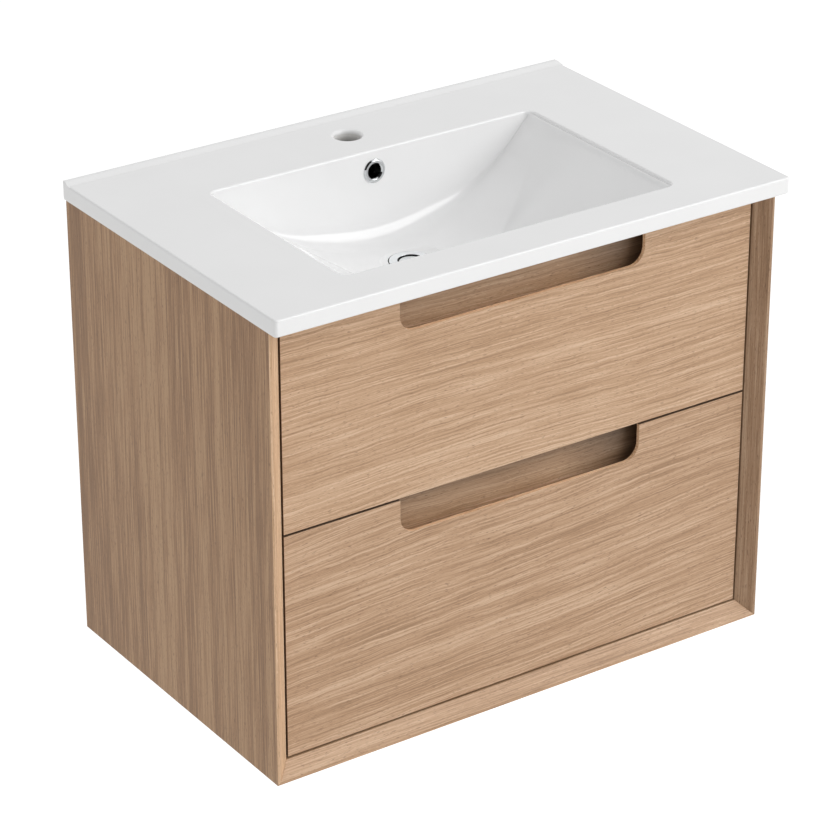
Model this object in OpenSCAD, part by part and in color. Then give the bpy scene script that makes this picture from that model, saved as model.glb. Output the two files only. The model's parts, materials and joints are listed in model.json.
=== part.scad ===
// Wall-hung bathroom vanity: a two-drawer oak cabinet under a one-piece ceramic basin top.
// X runs to the right, Y towards the wall and Z up. The origin is the centre of the
// wall-fixing pattern, on the wall plane and half way up the cabinet.

/* [Cabinet] */
// Height of the cabinet without the basin
cab_h = 606; // [590:1:680]
// Thickness of the side and bottom panels
board_t = 22; // [18:0.5:28]
// Flat strip left on each front edge, outside its bevel
edge_flat = 4; // [2:0.5:8]
// Depth of the bevel that leads back to the drawer fronts
bevel_d = 16; // [8:1:18]
// Thickness of the rear rails
rail_t = 16; // [12:1:22]
// Height of the upper rear rail
top_rail_h = 90; // [86:1:120]
// Height of the lower rear rail
low_rail_h = 80; // [76:1:120]

/* [Wall fixing] */
// Distance from the inside of a side panel to the wall bolts
fix_from_side = 68; // [58:1:120]
// Distance from the cabinet's top or underside to the wall bolts
fix_from_edge = 63; // [58:1:69]
// Diameter of a wall bolt hole
fix_d = 9; // [6:0.5:12]
// Thickness of a fixing plate
plate_t = 3; // [2:0.5:5]

/* [Basin] */
// Width of the basin top
basin_w = 750; // [640:1:900]
// Depth of the basin top from the wall
basin_d = 490; // [470:1:540]
// How far the basin top stands out past each side of the cabinet
side_overhang = 5; // [0:1:20]
// How far the basin top stands out past the front of the cabinet
front_overhang = 22; // [4:1:24]
// Thickness of the basin top at its edge
slab_t = 22; // [18:1:28]
// Radius of the upright corners of the basin top
slab_corner_r = 5; // [3:0.5:15]
// Radius of the long edges of the basin top
slab_edge_r = 2.5; // [1:0.5:5]
// Width of the raised lip along the wall
lip_w = 18; // [12:1:30]
// Height of the raised lip
lip_h = 3; // [2:0.5:10]
// Width of the bowl opening
bowl_w = 484; // [400:1:520]
// Distance from the front edge of the top to the front rim of the bowl
bowl_from_front = 64; // [54:1:70]
// Distance from the wall to the back rim of the bowl
bowl_from_wall = 127; // [118:1:130]
// Depth of the bowl in its middle
bowl_depth = 120; // [102:1:124]
// Radius of the corners of the bowl opening
bowl_corner_r = 12; // [6:1:30]
// Radius of the rounded rim of the bowl
rim_r = 3; // [1:0.5:3.5]
// Height of the steep band under the side rims
band_h = 4; // [4:0.5:8]
// Slope of the flat side wings in the front of the bowl
wing_slope = 0.7; // [0.6:0.01:0.8]
// Slope of the side wings at the back of the bowl
wing_slope_back = 0.97; // [0.9:0.01:1.1]
// Distance from the back rim to where the wings begin to steepen
scoop_start = 139; // [100:1:170]
// Distance from the back rim to where the wings stop steepening
scoop_end = 49; // [25:1:80]
// Lean of the back wall of the bowl, in degrees
back_lean = 3; // [2:1:8]
// Lean of the front wall of the bowl, in degrees
front_lean = 33; // [29:1:38]
// Thickness of the ceramic under the bowl
shell_t = 9; // [7:0.5:11]

/* [Tap, overflow and waste] */
// Diameter of the tap hole
tap_d = 35; // [30:0.5:40]
// Distance from the wall to the tap hole
tap_from_wall = 67; // [55:1:75]
// Radius that rounds the mouth of the tap hole
tap_mouth_r = 2.5; // [1:0.5:4]
// Inner diameter of the overflow ring
overflow_d = 19.6; // [16:0.2:24]
// Outer diameter of the overflow ring
overflow_ring_d = 31.6; // [28:0.2:36]
// Depth of the overflow ring below the deck
overflow_drop = 28; // [26:1:40]
// Distance from the wall to the waste
waste_from_wall = 211; // [200:1:225]
// Outer diameter of the waste flange
flange_d = 57; // [52:0.5:62]
// Diameter of the pop-up button
button_d = 32; // [28:0.5:34]
// Outer diameter of the waste tail
tail_d = 41.9; // [40:0.1:44]
// Length of the waste below its flange
tail_l = 90; // [80:1:95]

/* [Drawer fronts] */
// Gap round the drawer fronts
reveal = 3; // [2:0.5:5]
// Height of the lower front
lower_front_h = 301.5; // [286:0.5:315]
// Gap between the upper front and the basin
top_gap = 12; // [8:1:20]
// Thickness of the fronts
front_t = 18; // [16:0.5:22]
// Width of a finger pull
pull_w = 360; // [260:1:440]
// Depth of a finger pull below the top of its front
pull_h = 47; // [35:1:60]
// Radius of the lower corners of a finger pull
pull_r = 22; // [10:1:34]
// Thickness of the lip that the fingers hook behind
pull_lip = 5; // [4:0.5:8]
// How far the groove behind the lip runs past the pull
pull_groove = 13; // [8:1:18]
// Thickness of the panel that closes the back of a pull
pull_back_t = 4; // [3:0.5:5]

/* [Drawer boxes] */
// Thickness of the drawer box sides, fronts and backs
box_t = 15; // [12:0.5:16]
// Thickness of the drawer bottoms
base_t = 8; // [6:0.5:10]
// Length of a drawer box behind its front
box_l = 354; // [353:1:370]
// Height left between the upper box and the basin above it
box_headroom = 11.5; // [8:0.5:30]
// Height of the lower box
lower_box_h = 190; // [150:1:195]
// Height of a box's underside above the bottom of its front
box_lift = 22; // [15:1:26]
// Width of the plumbing well in the upper drawer
well_w = 160; // [130:1:220]
// Length of the plumbing well in the upper drawer
well_l = 205; // [190:1:230]

/* [Runners] */
// Side space that a runner takes
runner_w = 13; // [13:0.5:14]
// Length of a runner
runner_l = 350; // [300:1:350]
// Height of the fixed runner member
runner_h = 45.6; // [44:0.2:50]
// Sheet thickness of the runner members
runner_t = 1.2; // [1:0.1:1.4]
// Diameter of the runner balls
ball_d = 3; // [2.8:0.1:3.2]

/* [Hidden] */
$fn = 64;
cut = 1;               // how far a cutter runs past the face that it opens

oak = [0.78, 0.66, 0.53];
oak_shade = [0.60, 0.49, 0.39];
ceramic = [0.90, 0.90, 0.89];
chrome = [0.80, 0.81, 0.82];
zinc = [0.62, 0.64, 0.66];
rubber = [0.13, 0.13, 0.13];
melamine = [0.80, 0.79, 0.76];
nylon = [0.88, 0.88, 0.86];

// levels and planes
cab_w = basin_w - 2 * side_overhang;
cab_d = basin_d - front_overhang;
fix_x = cab_w - 2 * (board_t + fix_from_side);
fix_z = cab_h - 2 * fix_from_edge;
cab_bottom = -cab_h / 2;
seat_z = cab_h / 2;
deck_z = seat_z + slab_t;
outer_x = cab_w / 2;
inner_x = outer_x - board_t;
floor_in_z = cab_bottom + board_t;
face_y = -cab_d + bevel_d;                       // outside of the drawer fronts
front_back_y = face_y + front_t;
lower_z0 = floor_in_z + reveal;
lower_z1 = lower_z0 + lower_front_h;
upper_z0 = lower_z1 + reveal;
upper_z1 = seat_z - top_gap;
front_x = inner_x - reveal;

// drawer boxes
box_x = inner_x - runner_w;
box_in_x = box_x - box_t;
box_in_y = front_back_y + box_t;
box_back_y = front_back_y + box_l;
upper_box_z = upper_z0 + box_lift;
lower_box_z = lower_z0 + box_lift;
groove_d = 6;                                    // depth of the grooves that hold a base
groove_z = 10;                                   // height of a base above the box's underside
well_x = well_w / 2;
well_y = box_back_y - well_l;

// A board between two corners.
module board(x0, x1, y0, y1, z0, z1) {
    translate([x0, y0, z0])
        cube([x1 - x0, y1 - y0, z1 - z0]);
}

// Draws on the right-hand side, or mirrored on the left.
module on_side(side) {
    mirror([side < 0 ? 1 : 0, 0, 0])
        children();
}

// A flat outline in X and Z, extruded along Y from y0 to y1.
module along_y(y0, y1) {
    translate([0, y1, 0])
        rotate([90, 0, 0])
            linear_extrude(height = y1 - y0)
                children();
}

// A flat outline in Y and Z, extruded along X from x0 to x1.
module along_x(x0, x1) {
    translate([x0, 0, 0])
        rotate([90, 0, 90])
            linear_extrude(height = x1 - x0)
                children();
}

// A round bar or hole along Y from y0 to y1.
module rod_y(x, z, y0, y1, r) {
    translate([x, y1, z])
        rotate([90, 0, 0])
            cylinder(r = r, h = y1 - y0);
}

// A round bar or hole along X from x0 to x1.
module rod_x(y, z, x0, x1, r) {
    translate([x0, y, z])
        rotate([0, 90, 0])
            cylinder(r = r, h = x1 - x0);
}

// ---- carcass ----

module side_panel(side) {
    color(oak_shade)
        on_side(side)
            intersection() {
                translate([0, 0, cab_bottom])
                    linear_extrude(height = cab_h)
                        polygon([
                            [inner_x, 0], [outer_x, 0], [outer_x, -cab_d],
                            [outer_x - edge_flat, -cab_d], [inner_x, face_y]
                        ]);
                // the lower end is mitred to the bottom panel
                difference() {
                    along_y(-cab_d - cut, cut)
                        polygon([
                            [inner_x, floor_in_z], [outer_x, cab_bottom],
                            [outer_x, seat_z], [inner_x, seat_z]
                        ]);
                    runner_holes();
                    bracket_holes();
                }
            }
}

module bottom_panel() {
    color(oak)
        intersection() {
            along_x(-outer_x, outer_x)
                polygon([
                    [0, cab_bottom], [0, floor_in_z], [face_y, floor_in_z],
                    [-cab_d, cab_bottom + edge_flat], [-cab_d, cab_bottom]
                ]);
            along_y(-cab_d - cut, cut)
                polygon([
                    [-outer_x, cab_bottom], [outer_x, cab_bottom],
                    [inner_x, floor_in_z], [-inner_x, floor_in_z]
                ]);
        }
}

module rear_rail(z0, z1, fix_level) {
    color(oak_shade)
        difference() {
            board(-inner_x, inner_x, -rail_t, 0, z0, z1);
            for (side = [-1, 1]) {
                rod_y(side * fix_x / 2, fix_level, -rail_t - cut, cut, fix_d / 2);
                on_side(side)
                    bracket_holes();
            }
        }
}

module rear_top_rail() {
    rear_rail(seat_z - top_rail_h, seat_z, fix_z / 2);
}

module rear_bottom_rail() {
    rear_rail(floor_in_z, floor_in_z + low_rail_h, -fix_z / 2);
}

// Steel plates that spread the load of the wall bolts over the rails.
plate_w = 50;
plate_h = 40;
module fixing_plates() {
    color(zinc)
        for (sx = [-1, 1], sz = [-1, 1])
            difference() {
                translate([sx * fix_x / 2, -rail_t - plate_t / 2, sz * fix_z / 2])
                    cube([plate_w, plate_t, plate_h], center = true);
                rod_y(sx * fix_x / 2, sz * fix_z / 2, -rail_t - plate_t - cut, cut, fix_d / 2);
            }
}

// Angle brackets between the rails and the side panels.
bracket_leg = 30;
bracket_t = 2;
bracket_h = 40;
bracket_screw_at = 16;                           // screw distance from the bend
bracket_screw_r = 1.75;
bracket_screw_l = 12;
screw_head_r = 3.5;
screw_head_t = 1.6;
screw_play = 0.05;
bracket_levels = [seat_z - top_rail_h / 2, floor_in_z + low_rail_h / 2];

module corner_brackets() {
    color(zinc)
        for (side = [-1, 1], level = bracket_levels)
            on_side(side)
                translate([0, 0, level - bracket_h / 2])
                    difference() {
                        linear_extrude(height = bracket_h)
                            polygon([
                                [inner_x, -rail_t], [inner_x - bracket_leg, -rail_t],
                                [inner_x - bracket_leg, -rail_t - bracket_t],
                                [inner_x - bracket_t, -rail_t - bracket_t],
                                [inner_x - bracket_t, -rail_t - bracket_leg],
                                [inner_x, -rail_t - bracket_leg]
                            ]);
                        translate([0, 0, bracket_h / 2 - level])
                            bracket_holes();
                    }
}

// The two screws of each bracket: one into the rail, one into the side panel.
module bracket_shafts(r) {
    for (level = bracket_levels) {
        rod_y(inner_x - bracket_screw_at, level,
            -rail_t - bracket_t, -rail_t - bracket_t + bracket_screw_l, r);
        rod_x(-rail_t - bracket_screw_at, level,
            inner_x - bracket_t, inner_x - bracket_t + bracket_screw_l, r);
    }
}

module bracket_holes() {
    bracket_shafts(bracket_screw_r + screw_play);
}

module bracket_screws() {
    color(zinc)
        for (side = [-1, 1])
            on_side(side) {
                bracket_shafts(bracket_screw_r);
                for (level = bracket_levels) {
                    rod_y(inner_x - bracket_screw_at, level,
                        -rail_t - bracket_t - screw_head_t, -rail_t - bracket_t, screw_head_r);
                    rod_x(-rail_t - bracket_screw_at, level,
                        inner_x - bracket_t - screw_head_t, inner_x - bracket_t, screw_head_r);
                }
            }
}

// ---- basin ----

rim_front_y = -basin_d + bowl_from_front;
rim_back_y = -bowl_from_wall;
half_w = bowl_w / 2;
straight_w = half_w - bowl_corner_r;
wall_top_z = deck_z - rim_r;
valley_z = deck_z - bowl_depth;
floor_r = (half_w * half_w + bowl_depth * bowl_depth) / (2 * bowl_depth);
scoop_y0 = rim_back_y - scoop_start;
scoop_y1 = rim_back_y - scoop_end;
scoop_steps = 6;
front_blend = 28;                                // size of the curve at the foot of the front wall
back_blend = 18;                                 // size of the curve at the foot of the back wall
rim_steps = 3;
blend_steps = 4;
corner_step = 18;                                // degrees between columns in a rim corner
column_pairs = 12;                               // columns on each side of the middle

// Height of the rounded floor: an arc across the bowl from rim to rim.
function arc_z(x) = valley_z + floor_r - sqrt(floor_r * floor_r - x * x);
// How far the wings have steepened at y, eased from 0 in the front to 1 at the back.
function ease(t) = t * t * (3 - 2 * t);
function steepened(y) = ease(min(1, max(0, (y - scoop_y0) / (scoop_y1 - scoop_y0))));
function wing_m(y) = wing_slope + (wing_slope_back - wing_slope) * steepened(y);
// Height of the flat wings, which rise from the rounded floor to the side rims.
function wing_z(x, y) = deck_z - band_h - wing_m(y) * (half_w - abs(x));
function floor_z(x, y) = min(deck_z - band_h, max(arc_z(x), wing_z(x, y)));
// A curve that rounds corner p between the points a and b, each at most len away.
function toward(p, a, len) = p + (a - p) * min(len, 0.45 * norm(a - p)) / norm(a - p);
function blend(p, a, b, len) = [
    for (k = [0:blend_steps])
        let (t = k / blend_steps, pa = toward(p, a, len), pb = toward(p, b, len))
            (1 - t) * (1 - t) * pa + 2 * t * (1 - t) * p + t * t * pb
];
// Columns across the bowl: position and, in a rim corner, the angle round the corner.
columns = concat(
    [for (a = [90:-corner_step:corner_step]) [-straight_w - bowl_corner_r * sin(a), a]],
    [for (i = [-column_pairs:column_pairs]) [i * straight_w / column_pairs, 0]],
    [for (a = [corner_step:corner_step:90]) [straight_w + bowl_corner_r * sin(a), a]]
);
// The section of the bowl from front to back at a column, as points in Y and Z,
// with the walls moved out and the floor moved down by grow.
function section(column, grow) =
    let (
        x = column[0],
        inset = bowl_corner_r * (1 - cos(column[1])),
        front_y = rim_front_y + inset - grow / cos(front_lean),
        back_y = rim_back_y - inset + grow / cos(back_lean),
        front_z = floor_z(x, scoop_y0) - grow,
        back_z = floor_z(x, scoop_y1) - grow,
        front_foot = [front_y + (wall_top_z - front_z) * tan(front_lean), front_z],
        back_foot = [back_y - (wall_top_z - back_z) * tan(back_lean), back_z],
        depth_share = 1 - x * x / (half_w * half_w)
    )
    concat(
        blend(front_foot, [front_y, wall_top_z], [scoop_y0, front_z], front_blend),
        [
            for (k = [0:scoop_steps])
                let (y = scoop_y0 + (scoop_y1 - scoop_y0) * k / scoop_steps)
                    [y, floor_z(x, y) - grow]
        ],
        blend(back_foot, [scoop_y1, back_z], [back_y, wall_top_z], back_blend * depth_share + 1)
    );
// One column of points: down the front rim, through the section and up the back rim.
function rim_out(k, grow) = grow > 0 ? 0 : rim_r * (1 - cos(90 * k / rim_steps));
function rim_up(k, grow) = wall_top_z + (grow > 0 ? rim_r - 1 : rim_r) * sin(90 * k / rim_steps);
function column_points(column, grow) =
    let (
        a = column[1],
        side = sign(column[0]),
        shift = side * grow * abs(column[0]) / half_w,
        inset = bowl_corner_r * (1 - cos(a)),
        front_y = rim_front_y + inset - grow / cos(front_lean),
        back_y = rim_back_y - inset + grow / cos(back_lean),
        lid_z = grow > 0 ? deck_z - 0.5 : deck_z + 5
    )
    concat(
        [[column[0] + shift + side * rim_out(rim_steps, grow) * sin(a),
            front_y - rim_out(rim_steps, grow) * cos(a), lid_z]],
        [for (k = [rim_steps:-1:0])
            [column[0] + shift + side * rim_out(k, grow) * sin(a),
                front_y - rim_out(k, grow) * cos(a), rim_up(k, grow)]],
        [for (p = section(column, grow)) [column[0] + shift, p[0], p[1]]],
        [for (k = [0:rim_steps])
            [column[0] + shift + side * rim_out(k, grow) * sin(a),
                back_y + rim_out(k, grow) * cos(a), rim_up(k, grow)]],
        [[column[0] + shift + side * rim_out(rim_steps, grow) * sin(a),
            back_y + rim_out(rim_steps, grow) * cos(a), lid_z]]
    );

// The hollow of the bowl, or with grow the body of ceramic round it.
module bowl_form(grow) {
    points = [for (column = columns) each column_points(column, grow)];
    n = len(columns);
    k = len(points) / n;
    rings = rim_steps + 1;                       // upright rings between the lid and the section
    polyhedron(
        points = points,
        faces = concat(
            [for (i = [0:n - 2], j = [0:k - 2]) each [
                [i * k + j, (i + 1) * k + j, (i + 1) * k + j + 1],
                [i * k + j, (i + 1) * k + j + 1, i * k + j + 1]
            ]],
            [for (j = [0:rings - 1]) [j, j + 1, k - 2 - j, k - 1 - j]],
            [[for (j = [rings:k - 1 - rings]) j]],
            [for (j = [0:rings - 1], e = [(n - 1) * k]) [e + k - 1 - j, e + k - 2 - j, e + j + 1, e + j]],
            [[for (j = [k - 1 - rings:-1:rings]) (n - 1) * k + j]],
            [concat([for (i = [0:n - 1]) i * k + k - 1], [for (i = [n - 1:-1:0]) i * k])]
        )
    );
}

// Outline of a bar with rounded corners.
module rounded(x0, x1, y0, y1, r) {
    translate([x0, y0 + r])
        square([x1 - x0, y1 - y0 - 2 * r]);
    translate([x0 + r, y0])
        square([x1 - x0 - 2 * r, y1 - y0]);
    for (x = [x0 + r, x1 - r], y = [y0 + r, y1 - r])
        translate([x, y])
            circle(r = r);
}

// The top and its lip, rounded along every edge.
module slab() {
    hx = basin_w / 2;
    intersection() {
        translate([0, 0, seat_z])
            linear_extrude(height = slab_t)
                rounded(-hx, hx, -basin_d, 0, slab_corner_r);
        along_y(-basin_d, 0)
            rounded(-hx, hx, seat_z, deck_z, slab_edge_r);
        along_x(-hx, hx)
            rounded(-basin_d, 0, seat_z, deck_z, slab_edge_r);
    }
}

lip_crown = 5;                                   // flat top of the lip, rounding included
lip_steps = 10;
module lip() {
    hx = basin_w / 2;
    root = slab_t / 2;                           // how deep the lip is rooted in the top
    intersection() {
        // the lip swells out of the deck in an S-curve
        along_x(-hx, hx)
            polygon(concat(
                [[0, deck_z + lip_h], [0, deck_z - root], [-lip_w, deck_z - root]],
                [
                    for (k = [0:lip_steps])
                        let (t = k / lip_steps)
                            [-lip_w + t * (lip_w - lip_crown), deck_z + lip_h * ease(t)]
                ]
            ));
        along_x(-hx, hx)
            rounded(-basin_d, 0, seat_z, deck_z + lip_h, slab_edge_r);
        along_y(-lip_w, 0)
            rounded(-hx, hx, seat_z, deck_z + lip_h, slab_edge_r);
        translate([0, 0, seat_z])
            linear_extrude(height = slab_t + lip_h)
                rounded(-hx, hx, -basin_d, 0, slab_corner_r);
    }
}

// Rounds the mouth of a hole of radius r whose top is at the origin.
module mouth_round(r, round_r) {
    rotate_extrude()
        difference() {
            translate([0, -round_r])
                square([r + round_r, round_r + cut]);
            translate([r + round_r, -round_r])
                circle(r = round_r);
        }
}

// The overflow stands square to the leaning back wall.
overflow_z = deck_z - overflow_drop;
overflow_y = rim_back_y - (overflow_drop - rim_r) * tan(back_lean);
module at_overflow() {
    translate([0, overflow_y, overflow_z])
        rotate([90 - back_lean, 0, 0])
            children();
}

waste_y = -waste_from_wall;
recess_z = valley_z - 4;                         // the flange sits this low in the floor
recess_d = flange_d + 7;
washer_t = 1;
flange_t = 3;
waste_hole_d = tail_d + 4;
boss_z = valley_z - 30;                          // underside of the waste boss
upper_box_h = boss_z - box_headroom - upper_box_z;
boss_d = waste_hole_d + 26;
duct_in_w = 24;
duct_wall = 7;
duct_in_h = 10;
duct_y = rim_back_y + 12;                        // front of the upright duct
duct_z = boss_z + duct_wall;
sleeve_r = overflow_d / 2 + 1.6;
sleeve_play = 0.3;

// Walls and hollow of the overflow duct, down behind the bowl and forward to the waste.
module duct(wall) {
    w = duct_in_w / 2 + wall;
    board(-w, w, duct_y - wall, duct_y + duct_in_h + wall, duct_z - wall, seat_z - 4 + wall);
    board(-w, w, waste_y, duct_y + duct_in_h + wall, duct_z - wall, duct_z + duct_in_h + wall);
}

// The ceramic round the bowl, the waste boss and the overflow duct.
module bowl_body() {
    bowl_form(shell_t);
    translate([0, waste_y, boss_z])
        cylinder(d = boss_d, h = valley_z - boss_z - 3);
    duct(duct_wall);
}

// All the hollows of the casting.
module hollows() {
    bowl_form(0);
    duct(0);
    translate([0, waste_y, boss_z - cut])
        cylinder(d = waste_hole_d, h = bowl_depth);
    translate([0, waste_y, recess_z])
        cylinder(d = recess_d, h = bowl_depth);
    at_overflow()
        translate([0, 0, overflow_y - duct_y - duct_in_h / 2])
            cylinder(r = sleeve_r + sleeve_play, h = 40);
    translate([0, -tap_from_wall, seat_z - cut])
        cylinder(d = tap_d, h = slab_t + 2 * cut);
    translate([0, -tap_from_wall, deck_z])
        mouth_round(tap_d / 2, tap_mouth_r);
}

// Keeps what lies between two levels.
module between(z0, z1) {
    intersection() {
        children();
        board(-basin_w, basin_w, -basin_d - cut, cut, z0, z1);
    }
}

// The casting is one piece of ceramic, given as two solids that meet at the seat.
module basin() {
    color(ceramic)
        difference() {
            union() {
                slab();
                lip();
                between(seat_z, deck_z)
                    bowl_body();
            }
            hollows();
        }
}

module basin_bowl() {
    color(ceramic)
        difference() {
            between(boss_z, seat_z)
                bowl_body();
            hollows();
        }
}

module overflow_ring() {
    color(chrome)
        at_overflow()
            rotate_extrude()
                polygon([
                    [overflow_d / 2, -12], [sleeve_r, -12], [sleeve_r, 0.3],
                    [overflow_ring_d / 2, 0.3], [overflow_ring_d / 2, 1.2],
                    [overflow_ring_d / 2 - 1.5, 2.4], [overflow_d / 2 + 1.5, 2.4], [overflow_d / 2, 1]
                ]);
}

// ---- waste ----

flange_z = recess_z + washer_t + flange_t;       // top of the flange
tail_z = flange_z - tail_l;
button_gap = 1.6;
mouth_r = button_d / 2 + button_gap;
tail_in_r = mouth_r;
step_z = flange_z - 36;                          // ledge inside the tail that carries the cartridge
step_r = tail_in_r - 2.2;
stem_r = 4;
stem_play = 0.05;
slot_h = 12;
slot_w = 16;
gasket_t = 8;
nut_t = 9;
relief_z = boss_z - gasket_t - nut_t - 4;        // groove where the thread of the tail ends
relief_h = 2;
relief_d = 1.2;

module waste_body() {
    color(chrome)
        translate([0, waste_y, 0])
            difference() {
                rotate_extrude()
                    polygon([
                        [step_r, tail_z], [tail_d / 2 - 1, tail_z], [tail_d / 2, tail_z + 1],
                        [tail_d / 2, relief_z], [tail_d / 2 - relief_d, relief_z],
                        [tail_d / 2 - relief_d, relief_z + relief_h], [tail_d / 2, relief_z + relief_h],
                        [tail_d / 2, flange_z - flange_t], [flange_d / 2, flange_z - flange_t],
                        [flange_d / 2, flange_z - 1.4], [flange_d / 2 - 1.4, flange_z - 0.4],
                        [mouth_r + 4, flange_z], [mouth_r + 1.2, flange_z - 0.4],
                        [mouth_r, flange_z - 1.8], [tail_in_r, step_z], [step_r, step_z]
                    ]);
                // overflow slots, level with the duct
                translate([-tail_d, -slot_w / 2, duct_z - 1])
                    cube([2 * tail_d, slot_w, slot_h]);
            }
}

module waste_washer() {
    color(rubber)
        translate([0, waste_y, recess_z])
            difference() {
                cylinder(d = flange_d - 1, h = washer_t);
                translate([0, 0, -cut])
                    cylinder(d = tail_d + 0.6, h = washer_t + 2 * cut);
            }
}

module waste_gasket() {
    color(rubber)
        translate([0, waste_y, boss_z])
            rotate_extrude()
                polygon([
                    [tail_d / 2 + 0.3, 0], [tail_d / 2 + 11, 0],
                    [tail_d / 2 + 8, -gasket_t], [tail_d / 2 + 0.3, -gasket_t]
                ]);
}

module waste_nut() {
    color(chrome)
        translate([0, waste_y, boss_z - gasket_t - nut_t])
            difference() {
                union() {
                    cylinder(d = tail_d + 11, h = nut_t, $fn = 6);
                    translate([0, 0, nut_t - 2])
                        cylinder(d = tail_d + 17, h = 2);
                }
                translate([0, 0, -cut])
                    cylinder(d = tail_d + 0.2, h = nut_t + 2 * cut);
            }
}

// Guide of the pop-up: a ring on the ledge, three arms and a tube for the stem.
guide_h = 22;
ring_h = 4;
module waste_cartridge() {
    color(nylon)
        translate([0, waste_y, step_z])
            difference() {
                union() {
                    difference() {
                        cylinder(r = tail_in_r - 0.3, h = ring_h);
                        translate([0, 0, -cut])
                            cylinder(r = step_r, h = ring_h + 2 * cut);
                    }
                    cylinder(r = stem_r + 2.5, h = guide_h);
                    for (a = [0:120:240])
                        rotate([0, 0, a + 90])
                            translate([stem_r, -1.25, 0])
                                cube([step_r - stem_r + 1, 2.5, ring_h]);
                }
                translate([0, 0, -cut])
                    cylinder(r = stem_r + stem_play, h = guide_h + 2 * cut);
            }
}

shoulder_z = step_z + guide_h - flange_z;        // shoulder that rests on the guide tube
module waste_button() {
    color(chrome)
        translate([0, waste_y, flange_z])
            rotate_extrude()
                polygon([
                    [0, -34], [stem_r - 0.5, -34], [stem_r, -33.5], [stem_r, shoulder_z],
                    [stem_r + 2.2, shoulder_z], [stem_r + 2.2, -4],
                    [button_d / 2 - 1.2, -4], [button_d / 2, -2.8], [button_d / 2, -0.8],
                    [button_d / 2 - 0.8, 0], [0, 0.4]
                ]);
}

// ---- drawer fronts ----

// Outline of a finger pull whose open top is at the height z1.
module pull_outline(z1, grow) {
    x = pull_w / 2 + grow;
    z = z1 - pull_h - grow;
    r = pull_r + grow;
    translate([-x, z + r])
        square([2 * x, z1 + cut - z - r]);
    translate([-x + r, z])
        square([2 * (x - r), r + cut]);
    for (side = [-1, 1])
        translate([side * (x - r), z + r])
            circle(r = r);
}

module drawer_front(z0, z1, box_z) {
    color(oak)
        difference() {
            board(-front_x, front_x, face_y, front_back_y, z0, z1);
            along_y(face_y - cut, front_back_y + cut)
                pull_outline(z1, 0);
            along_y(face_y + pull_lip, front_back_y + cut)
                pull_outline(z1, pull_groove);
            front_screw_holes(box_z);
        }
}

pull_back_margin = 10;
module pull_back(z1) {
    x = pull_w / 2 + pull_groove + pull_back_margin;
    color(oak_shade)
        board(-x, x, front_back_y, front_back_y + pull_back_t,
            z1 - pull_h - pull_groove - pull_back_margin, z1);
}

// Screws that hold a front to the inner front of its box.
front_screw_r = 2;
front_screw_grip = 10;                           // how far a screw goes into the front
front_screw_head_r = 4;
front_screw_head_t = 2.4;
function front_screw_spots(box_z) = [
    for (x = [-0.75, -0.25, 0.25, 0.75], z = [35, 75]) [x * box_in_x, box_z + z]
];

module front_screw_shafts(box_z, r) {
    for (p = front_screw_spots(box_z))
        rod_y(p[0], p[1], front_back_y - front_screw_grip, box_in_y, r);
}

module front_screw_holes(box_z) {
    front_screw_shafts(box_z, front_screw_r + screw_play);
}

module front_screws(box_z) {
    color(zinc) {
        front_screw_shafts(box_z, front_screw_r);
        for (p = front_screw_spots(box_z))
            rod_y(p[0], p[1], box_in_y, box_in_y + front_screw_head_t, front_screw_head_r);
    }
}

// ---- drawer boxes ----

// The space that a drawer base takes, grooves included.
module base_blank(box_z) {
    board(-box_in_x - groove_d, box_in_x + groove_d, box_in_y - groove_d, box_back_y - box_t + groove_d,
        box_z + groove_z, box_z + groove_z + base_t);
}

// The notch in the upper base, up to the grooves of the well boards.
module well_notch() {
    x = well_x + box_t - groove_d;
    board(-x, x, well_y - box_t + groove_d, box_back_y, cab_bottom, seat_z);
}

module box_board(x0, x1, y0, y1, box_z, box_h) {
    color(melamine)
        difference() {
            board(x0, x1, y0, y1, box_z, box_z + box_h);
            base_blank(box_z);
            front_screw_holes(box_z);
            slide_screw_holes(box_z);
        }
}

module inner_front(box_z, box_h) {
    box_board(-box_x, box_x, front_back_y, box_in_y, box_z, box_h);
}

module box_side(side, box_z, box_h) {
    on_side(side)
        box_board(box_in_x, box_x, box_in_y, box_back_y, box_z, box_h);
}

module lower_base() {
    color(melamine)
        base_blank(lower_box_z);
}

module lower_back() {
    box_board(-box_in_x, box_in_x, box_back_y - box_t, box_back_y, lower_box_z, lower_box_h);
}

module upper_base() {
    color(melamine)
        difference() {
            base_blank(upper_box_z);
            well_notch();
        }
}

module upper_back(side) {
    on_side(side)
        box_board(well_x + box_t, box_in_x, box_back_y - box_t, box_back_y, upper_box_z, upper_box_h);
}

// A well board is grooved for the base on its outer side only.
module well_board(x0, x1, y0, y1) {
    color(melamine)
        difference() {
            board(x0, x1, y0, y1, upper_box_z, upper_box_z + upper_box_h);
            difference() {
                base_blank(upper_box_z);
                well_notch();
            }
        }
}

module upper_well_side(side) {
    on_side(side)
        well_board(well_x, well_x + box_t, well_y, box_back_y);
}

module upper_well_front() {
    well_board(-well_x - box_t, well_x + box_t, well_y - box_t, well_y);
}

// ---- ball-bearing runners ----

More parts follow.
